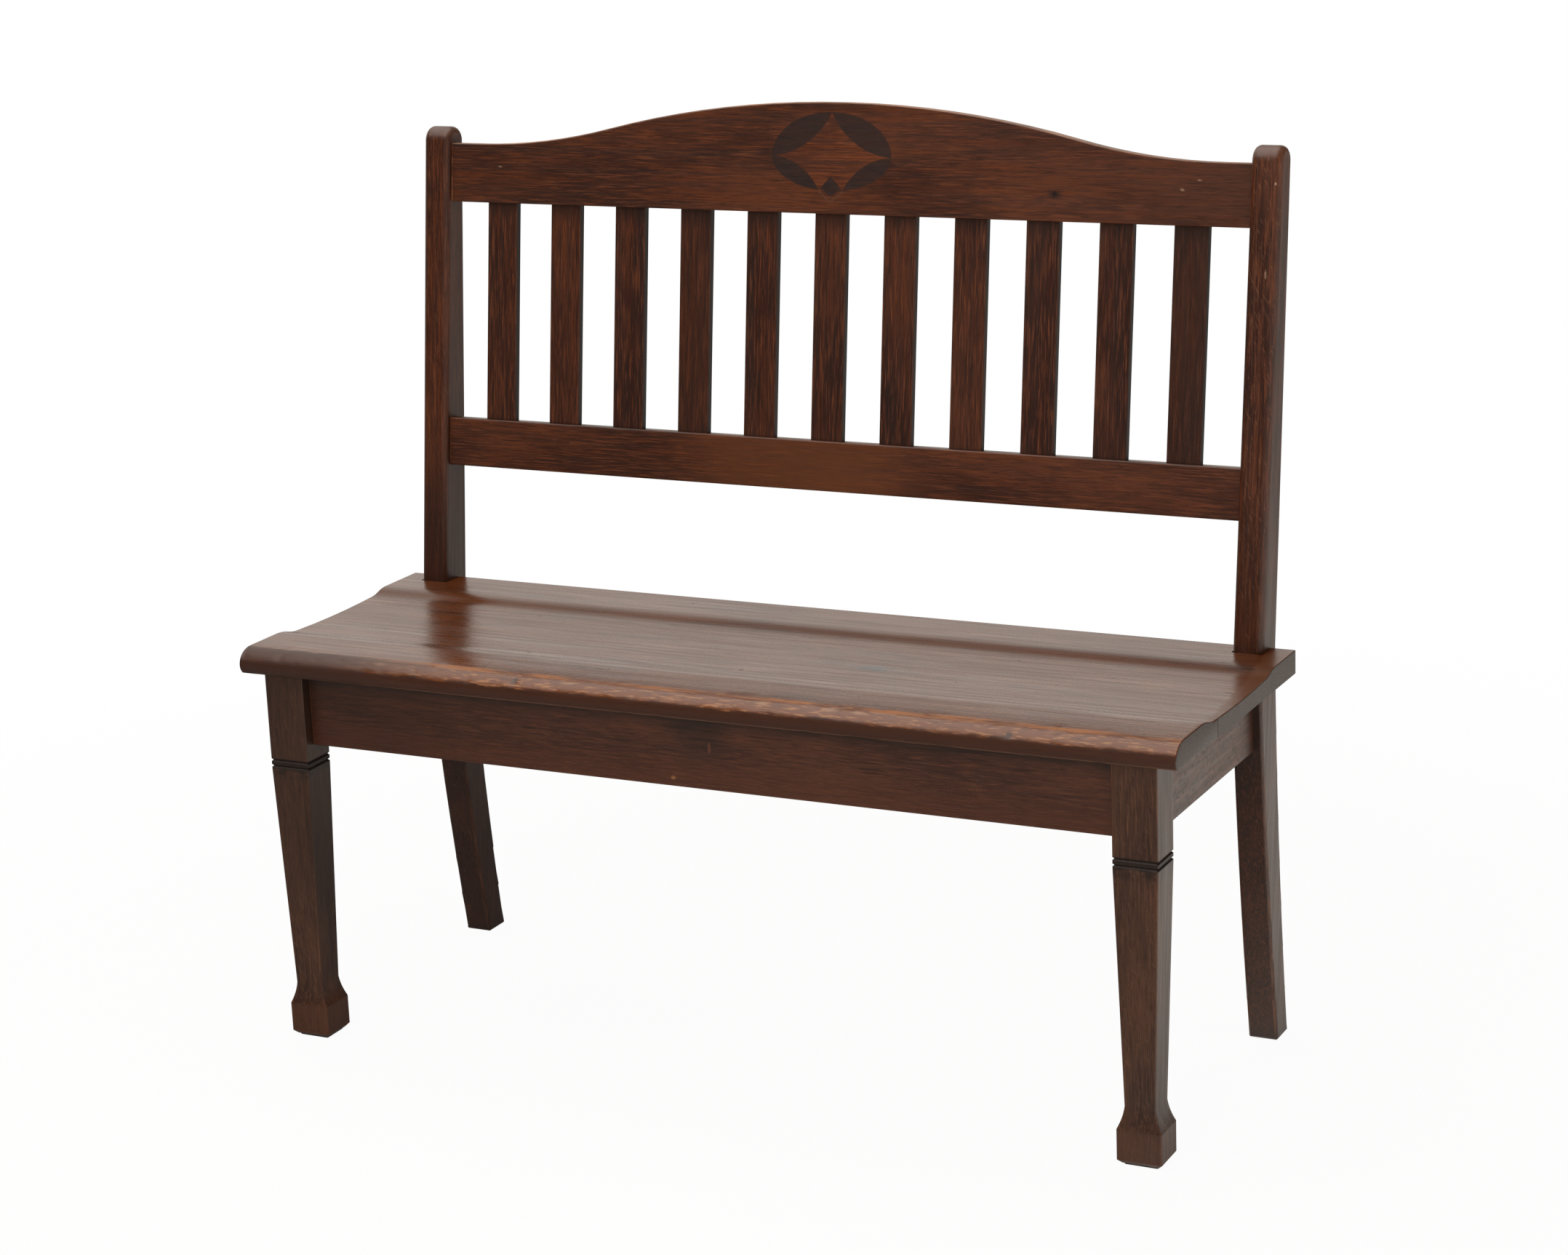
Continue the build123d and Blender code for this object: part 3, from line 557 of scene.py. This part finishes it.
def seat_streaks(seat_oak, across, along, detail=3.0):
    """Noise along the grain of the seat's boards."""
    return streaks(seat_oak.node_tree, place_on(seat_oak), "X", across, along, detail)


def dirty_joints(seat_oak):
    """Draw the two glue joints as fine broken lines of dirt."""
    tree = seat_oak.node_tree
    back = place_on(seat_oak, "Y")
    broken = ramp(tree, seat_streaks(seat_oak, across=40.0, along=9.0), 0.35, 0.60, low=0.15, high=0.55)
    for joint in seat_joints:
        beside = size_of(tree, sum_of(tree, back, -joint))
        line = ramp(tree, beside, joint_reach, joint_core)
        cover(seat_oak, product(tree, line, broken), joint_dirt)


def dull_seat(seat_oak):
    """Speck the seat, paint shade at the foot of its ledge, and rub dull streaks along it."""
    tree = seat_oak.node_tree
    back = place_on(seat_oak, "Y")
    specks = ramp(tree, seat_streaks(seat_oak, across=95.0, along=60.0, detail=1.0), 0.735, 0.77, high=0.8)
    cover(seat_oak, specks, speck_black, 0.4)
    # Painted shade between the foot and the top of the ledge.
    hollow = product(
        tree,
        ramp(tree, back, ledge_foot - 0.005, ledge_foot + 0.007),
        ramp(tree, back, ledge_top + 0.009, ledge_top - 0.005, high=0.4),
    )
    cover(seat_oak, hollow, ledge_shade)
    rubbed = ramp(tree, seat_streaks(seat_oak, across=30.0, along=5.0), 0.44, 0.58, high=0.65)
    cover(seat_oak, rubbed, rubbed_dull, 0.27)
    scratched = ramp(tree, seat_streaks(seat_oak, across=170.0, along=6.0), 0.48, 0.60, high=0.75)
    cover(seat_oak, scratched, scratch_dull, 0.33)


def paint_right_end_light(seat_oak):
    """Paint the light of an eased edge on the last few millimetres of the right end, warm and rougher,
    along a ragged slanting line.
    """
    tree = seat_oak.node_tree
    ragged = product(tree, seat_streaks(seat_oak, across=60.0, along=30.0, detail=2.0), 0.008)
    slant = product(tree, place_on(seat_oak, "Y"), 0.07)
    line = sum_of(tree, place_on(seat_oak, "X"), ragged, slant)
    cover(seat_oak, ramp(tree, line, seat_end - 0.0145, seat_end - 0.0075, high=0.60), end_light_orange, 0.40)


def darken_ends(seat_oak):
    """Turn the end grain dark and dry."""
    tree = seat_oak.node_tree
    end = ramp(tree, size_of(tree, facing(seat_oak, "X")), 0.55, 0.85, high=0.95)
    cover(seat_oak, end, end_brown, 0.44)
    pores = ramp(tree, seat_streaks(seat_oak, across=700.0, along=700.0, detail=2.0), 0.50, 0.62, high=0.9)
    cover(seat_oak, product(tree, end, pores), end_black, 0.62)


seat_oaks = {}
for label, shift in (("front", 41.0), ("middle", 48.0), ("rear", 55.0)):
    seat_oak = stained_wood(
        "seat_oak_" + label, "X", oak_deep, seat_body, seat_warm, oak_bare, shift=shift, wear=0.4,
        sheen=0.22, grime_and_shade=0.5, strand=0.75
    )
    dirty_joints(seat_oak)
    dull_seat(seat_oak)
    paint_right_end_light(seat_oak)
    seat_oaks[label] = seat_oak
seat_stains = (
    ("middle", (-0.4458, -0.0649, 0.4413), (0.0038, 0.0035, 0.02), (0.010, 0.006, 0.005), 0.9),
    ("middle", (0.1380, -0.0384, 0.4413), (0.0240, 0.0110, 0.02), (0.012, 0.012, 0.016), 0.9),
    ("rear", (0.4758, 0.1500, 0.4465), (0.0030, 0.0022, 0.02), pale_nick, 0.8),
)
for label, place, reach, colour, share in seat_stains:
    mark(seat_oaks[label], place, reach, colour, share)
for label in ("middle", "rear"):
    darken_ends(seat_oaks[label])
    finish_node("seat_board_" + label, seat_oaks[label])


# Seat, front board: the third board, with the ridge and the rounded nose. The nose is rubbed
# through the stain by use, dented and bruised, and stays dark only towards its left end. A
# highlight is painted on the upper half of its roll and along its lower edge, and shade on the
# lower half.
nose_start = 0.022  # from the front edge back to where the board starts to roll over
nose_drop = 0.017  # height of the roll
nose_under = 0.0045  # how far the lower corner turns back
ridge_reach = 0.072  # from the front edge back to the top of the ridge
dish_reach = 0.116  # and on to the front of the dish
ridge_rise = 0.0066  # of the ridge above the dish
dish_fall = 0.00017  # from there down to the joint
end_arris = 0.0012
end_slack = 1e-5
sweep_steps = 420
flat_steps = 12
curve_steps = 10
nose_steps = 24
wear_reach = 0.034
wear_onset = 2.5
unworn_end = 0.002
rub_depth = 0.0006
dent_depth = 0.0013
chip_depth = 0.0007
bruise_flatness = 1.6
# Each bruise has its place along the seat, its height, its size and its depth.
bruises = (
    (-0.1958, 0.4425, 0.0050, 0.0012),
    (0.3648, 0.4400, 0.0050, 0.0010),
    (0.4107, 0.4460, 0.0035, 0.0010),
)
board_low, board_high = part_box("seat_board_front")


def walk(profile, end, step):
    """Draw a profile on from its end vertex by a straight step."""
    grown = bmesh.ops.extrude_vert_indiv(profile, verts=[end])["verts"][0]
    grown.co = end.co + Vector(step)
    return grown


def bend(profile, end, centre, angle, steps):
    """Draw a profile on from its end vertex round a centre."""
    spun = bmesh.ops.spin(
        profile, geom=[end], cent=centre, axis=(1.0, 0.0, 0.0), angle=angle, steps=steps,
        use_duplicate=False
    )
    return spun["geom_last"][0]


def hollows(place, along, across, least):
    """Noise in cells per metre at a place, as far as it rises over a least value."""
    spot = Vector((place.x * along, place.y * across, place.z * across))
    return max(0.0, noise.noise(spot) - least)


def nose_wear(place):
    """Depth of wood lost at a place on the front board."""
    reach = max(0.0, 1.0 - (place.y - board_low.y) / wear_reach)
    if reach == 0.0 or board_high.x - abs(place.x) < unworn_end:
        return 0.0
    rise = (place.z - board_low.z) / (board_high.z - board_low.z)
    rubbed = 0.5 + 0.5 * noise.noise(Vector((place.x * 9.0, 3.0, 1.0)))
    dents = hollows(place, along=46.0, across=70.0, least=0.22)
    chips = hollows(place, along=130.0, across=160.0, least=0.30)
    loss = rub_depth * rubbed * rise + dent_depth * dents + chip_depth * chips
    for along, up, size, depth in bruises:
        away = math.hypot(place.x - along, bruise_flatness * (place.z - up)) / size
        loss += depth * math.exp(-away * away)
    return min(reach * wear_onset, 1.0) * loss


def draw_profile(board):
    """Draw the front board's outline at its left end, from the rear corner round to the nose."""
    left, front, bottom = board_low
    rear, top = board_high.yz
    corner = bmesh.ops.create_vert(board, co=(left, rear, bottom))["vert"][0]
    end = walk(board, corner, (0.0, 0.0, top - bottom - ridge_rise - dish_fall))
    end = walk(board, end, (0.0, front + dish_reach - rear, dish_fall))
    run = dish_reach - ridge_reach
    angle = 2 * math.atan(ridge_rise / run)
    radius = run / 2 / math.sin(angle)
    end = bend(board, end, (left, end.co.y, end.co.z + radius), -angle, curve_steps)
    end = bend(board, end, (left, front + ridge_reach, top - radius), angle, curve_steps)
    for _ in range(flat_steps):
        end = walk(board, end, (0.0, (nose_start - ridge_reach) / flat_steps, 0.0))
    before = set(board.verts)
    turn_at = (left, front + nose_start, top - nose_drop)
    end = bend(board, end, turn_at, math.pi / 2, nose_steps)
    rolled_verts = [vert for vert in board.verts if vert not in before]
    about = Matrix.Translation((0.0, -turn_at[1], 0.0))
    bmesh.ops.scale(board, vec=(1.0, nose_start / nose_drop, 1.0), space=about, verts=rolled_verts)
    low = end.co.z - bottom
    chin = (nose_under**2 + low**2) / (2 * nose_under)
    bend(board, end, (left, end.co.y + chin, end.co.z), math.asin(low / chin), curve_steps)
    bmesh.ops.remove_doubles(board, verts=board.verts, dist=1e-7)


def front_board():
    """Sweep the front board's profile along the seat and wear its nose."""
    board = bmesh.new()
    draw_profile(board)
    bmesh.ops.contextual_create(board, geom=board.edges)
    step = (board_high.x - board_low.x) / sweep_steps
    geom = list(board.verts) + list(board.edges) + list(board.faces)
    bmesh.ops.spin(
        board, geom=geom, cent=(0, 0, 0), axis=(1, 0, 0), dvec=(step, 0, 0), angle=0.0, steps=sweep_steps,
        use_duplicate=False
    )
    bmesh.ops.holes_fill(board, edges=board.edges)
    bmesh.ops.recalc_face_normals(board, faces=board.faces)
    at_end = {vert for vert in board.verts if abs(vert.co.x) > board_high.x - end_slack}
    ends = [edge for edge in board.edges if at_end.issuperset(edge.verts)]
    bmesh.ops.bevel(
        board, geom=ends, offset=end_arris, offset_type="OFFSET", affect="EDGES", segments=3, profile=0.5,
        material=-1
    )
    board.normal_update()
    losses = {vert: vert.normal * nose_wear(vert.co) for vert in board.verts}
    for vert, loss in losses.items():
        vert.co -= loss
    return board


rubbed_and_lit_brown = (0.165, 0.0480, 0.0130)
rubbed_and_lit_strand = (0.38, 0.17, 0.070)
crown_orange = (0.40, 0.135, 0.032)
roll_underside_shade = (0.040, 0.0115, 0.0045)
strand_dark = (0.05, 0.018, 0.010)
rim_highlight = (0.150, 0.072, 0.038)
chip_pale = (0.36, 0.19, 0.10)
bruise_black = (0.020, 0.010, 0.008)
left_dark = (0.040, 0.0130, 0.0065)
chip_places = (-0.3631, -0.1343, 0.0918, 0.1688, 0.2001)
chip_back = -0.2070
chip_height = 0.4450
chip_size = (0.0110, 0.0060, 0.0016)
bruise_back = -0.2150
bruise_through = 0.0200
sharp_angle = math.radians(38)
roll_start = board_low.y + 0.0275
roll_full = board_low.y + 0.0235
crown_rear = board_low.y + 0.0300
crown_front = board_low.y + 0.0175
rub_low = board_low.z + 0.0190
rub_high = board_low.z + 0.0220
nose_oak = seat_oaks["front"]
nose_tree = nose_oak.node_tree
along = place_on(nose_oak, "X")
back = place_on(nose_oak, "Y")
up = place_on(nose_oak, "Z")

waves = product(nose_tree, seat_streaks(nose_oak, across=60.0, along=9.0), 0.008)
wavy = sum_of(nose_tree, back, waves)
rolled = ramp(nose_tree, wavy, roll_start, roll_full)
rises = product(nose_tree, seat_streaks(nose_oak, across=110.0, along=30.0), 0.009)
uneven = sum_of(nose_tree, up, rises)
sat_on = ramp(nose_tree, along, -0.42, -0.24, low=0.12)
# The upper half of the roll is rubbed and also carries a painted highlight, with pale strands in it.
rubbed = product(nose_tree, rolled, ramp(nose_tree, uneven, rub_low, rub_high), sat_on)
cover(nose_oak, product(nose_tree, rubbed, 0.8), rubbed_and_lit_brown, 0.30)
# Painted shade on the lower half of the roll.
lower = product(nose_tree, rolled, ramp(nose_tree, uneven, rub_high, rub_low), 0.9)
cover(nose_oak, lower, roll_underside_shade, 0.42)
light_strand = seat_streaks(nose_oak, across=420.0, along=60.0, detail=2.0)
light_share = product(nose_tree, rubbed, ramp(nose_tree, light_strand, 0.52, 0.66, high=0.8))
cover(nose_oak, light_share, rubbed_and_lit_strand, 0.45)

breaks = seat_streaks(nose_oak, across=90.0, along=14.0, detail=2.0)
crown_line = product(
    nose_tree,
    ramp(nose_tree, wavy, crown_rear, crown_rear - 0.0035),
    ramp(nose_tree, wavy, crown_front, crown_front + 0.0040),
    ramp(nose_tree, breaks, 0.40, 0.58, low=0.05, high=0.95),
    sat_on,
)
cover(nose_oak, crown_line, crown_orange, 0.45)
dark_strand = seat_streaks(nose_oak, across=380.0, along=40.0, detail=2.0)
dark_share = product(nose_tree, rubbed, ramp(nose_tree, dark_strand, 0.44, 0.30, high=0.6))
cover(nose_oak, dark_share, strand_dark)
# Painted highlight along the lower edge of the nose.
rim = product(nose_tree, ramp(nose_tree, up, board_low.z + 0.0022, board_low.z + 0.0008), rolled, 0.6)
cover(nose_oak, rim, rim_highlight)
for chip_place in chip_places:
    mark(nose_oak, (chip_place, chip_back, chip_height), chip_size, chip_pale, 0.6)
for bruise_place, height, size, _ in bruises:
    reach = (size, bruise_through, 0.7 * size)
    mark(nose_oak, (bruise_place, bruise_back, height), reach, bruise_black, 0.8)
dark_left = product(nose_tree, rolled, ramp(nose_tree, along, -0.28, -0.44, high=0.80))
cover(nose_oak, dark_left, left_dark, 0.50)
darken_ends(nose_oak)

board = front_board()
mesh = bpy.data.meshes.new("worn_seat_board")
board.to_mesh(mesh)
board.free()
mesh.polygons.foreach_set("use_smooth", [True] * len(mesh.polygons))
mesh.set_sharp_from_angle(angle=sharp_angle)
mesh.materials.append(nose_oak)
worn_board = bpy.data.objects.new("worn_seat_board", mesh)
bpy.context.scene.collection.objects.link(worn_board)
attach(worn_board, "root")
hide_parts("seat_board_front")


# Dowels and seat screws: ten turned beech dowels in the seat's glue joints, and four steel
# screws that hold the seat down from below.
beech_deep = (0.36, 0.20, 0.105)
beech_body = (0.52, 0.33, 0.19)
beech_warm = (0.56, 0.34, 0.18)
beech_bare = (0.60, 0.42, 0.27)
dowel_beech = stained_wood(
    "dowel_beech", "Y", beech_deep, beech_body, beech_warm, beech_bare, shift=61.0, warmth=0.3, wear=0.2,
    sheen=0.55, polish=1.5
)
finish_node("seat_dowels", dowel_beech)
finish_node("seat_screws", screw_steel)


# Floor: a plain white studio floor that runs on into a white backdrop. It shows the settle's
# soft shadow, and the waxed sides of the settle reflect its bright part.
def mix_shaders(tree, share, first, second):
    """Go from one shader to another by a share."""
    inputs = {0: share, 1: first.outputs[0], 2: second.outputs[0]}
    return add_node(tree, "ShaderNodeMixShader", inputs)


studio_reach = 30.0
shadow_start = 0.7
shadow_end = 2.0
shadow_white = 0.95
floor_grey = (0.90, 0.90, 0.90, 1.0)
mirror_cream = (1.0, 0.95, 0.87, 1.0)
bpy.ops.mesh.primitive_plane_add(size=2 * studio_reach, location=(0.0, 0.0, 0.0))
floor = bpy.context.object
floor.name = "studio_floor"
floor_paint = bpy.data.materials.new("floor_paint")
floor_paint.use_nodes = True
ground = floor_paint.node_tree
ground.nodes.remove(ground.nodes["Principled BSDF"])
rays = add_node(ground, "ShaderNodeLightPath").outputs
paint = add_node(ground, "ShaderNodeBsdfDiffuse", {"Color": floor_grey})

# The camera sees the floor white, with a small share of the settle's shadow near the middle.
middle_away = add_node(ground, "ShaderNodeVectorMath", {0: place_on(floor_paint)}, operation="LENGTH")
plain_white = add_node(ground, "ShaderNodeEmission", {"Strength": 1.0})
whitened = ramp(ground, middle_away.outputs["Value"], shadow_start, shadow_end, low=shadow_white)
seen = mix_shaders(ground, whitened, paint, plain_white)
near_camera = mix_shaders(ground, rays["Is Camera Ray"], paint, seen)

# The wax mirrors a floor that is dim to the left and bright to the right.
right = place_on(floor_paint, "X")
back = place_on(floor_paint, "Y")
across = sum_of(ground, right, product(ground, back, 0.25))
beside = ramp(ground, across, 0.2, 0.85, low=0.14, high=0.90)
far_off = ramp(ground, back, 0.9, 3.0, low=1.0, high=0.45)
inputs = {"Color": mirror_cream, "Strength": product(ground, beside, far_off)}
mirrored = add_node(ground, "ShaderNodeEmission", inputs)
surface = mix_shaders(ground, rays["Is Glossy Ray"], near_camera, mirrored)
ground.links.new(surface.outputs[0], ground.nodes["Material Output"].inputs["Surface"])
floor.data.materials.append(floor_paint)


# World and lamps: a dim room with a white screen behind to the left, a wide soft lamp
# overhead, and two soft fills, from the front and from the right, that the wax doesn't mirror.
screen_direction = (-0.71, 0.71, 0.0)
room_level = 0.025
screen_level = 0.95
screen_cream = (1.0, 0.955, 0.88)
pure_white = (1.0, 1.0, 1.0)
world = bpy.data.worlds.new("studio")
bpy.context.scene.world = world
world.use_nodes = True
sky = world.node_tree
direction = add_node(sky, "ShaderNodeTexCoord").outputs["Generated"]
camera_ray = add_node(sky, "ShaderNodeLightPath").outputs["Is Camera Ray"]
inputs = {0: direction, 1: screen_direction}
towards = add_node(sky, "ShaderNodeVectorMath", inputs, operation="DOT_PRODUCT")
height = add_node(sky, "ShaderNodeSeparateXYZ", {"Vector": direction}).outputs["Z"]
screen = product(sky, ramp(sky, towards.outputs["Value"], 0.60, 0.80), ramp(sky, height, 1.02, 0.38))
lit = ramp(sky, screen, 0.0, 1.0, low=room_level, high=screen_level)
level = add_node(sky, "ShaderNodeMix", {0: camera_ray, 2: lit, 3: 1.0}, data_type="FLOAT")
background = sky.nodes["Background"]
sky.links.new(tint(sky, camera_ray, screen_cream, pure_white), background.inputs["Color"])
sky.links.new(level.outputs[0], background.inputs["Strength"])

lamp_cream = (1.0, 0.97, 0.92)
seat_aim = (0.0, 0.0, 0.4)


def soft_lamp(name, place, aim, width, depth, power, mirrored=True):
    """Hang a rectangular soft lamp that faces a point."""
    lamp = bpy.data.lights.new(name, "AREA")
    lamp.shape = "RECTANGLE"
    lamp.size = width
    lamp.size_y = depth
    lamp.energy = power
    lamp.color = lamp_cream
    holder = bpy.data.objects.new(name, lamp)
    bpy.context.scene.collection.objects.link(holder)
    holder.location = place
    holder.visible_glossy = mirrored
    holder.rotation_euler = (Vector(aim) - Vector(place)).to_track_quat("-Z", "Y").to_euler()


soft_lamp("overhead", (-0.8, -0.6, 3.4), (-0.8, -0.6, 0.0), 3.6, 5.0, 92.0)
soft_lamp("front_fill", (0.3, -3.8, 1.4), seat_aim, 2.4, 2.4, 92.0, mirrored=False)
soft_lamp("side_fill", (3.6, 0.2, 1.0), seat_aim, 2.0, 2.0, 40.0, mirrored=False)


# Camera: the photograph's place, height, tilt and lens, worked out from the settle's edges.
# It stands in front of the settle and to the right, above the crest, and looks down at it.
camera_place = (1.6467, -3.2261, 1.4394)
camera_yaw = math.radians(26.8074)
camera_pitch = math.radians(-15.1013)
camera_roll = math.radians(-2.294)
photo_width = 2156
focal_pixels = 4817.2
lens = bpy.data.cameras.new("camera")
lens.sensor_fit = "HORIZONTAL"
lens.sensor_width = 36.0
lens.lens = lens.sensor_width * focal_pixels / photo_width
lens.clip_end = 100.0
camera = bpy.data.objects.new("camera", lens)
bpy.context.scene.collection.objects.link(camera)
camera.matrix_world = (
    Matrix.Translation(camera_place)
    @ Matrix.Rotation(camera_yaw, 4, "Z")
    @ Matrix.Rotation(math.pi / 2 + camera_pitch, 4, "X")
    @ Matrix.Rotation(camera_roll, 4, "Z")
)
bpy.context.scene.camera = camera
bpy.context.scene.view_settings.view_transform = "Standard"
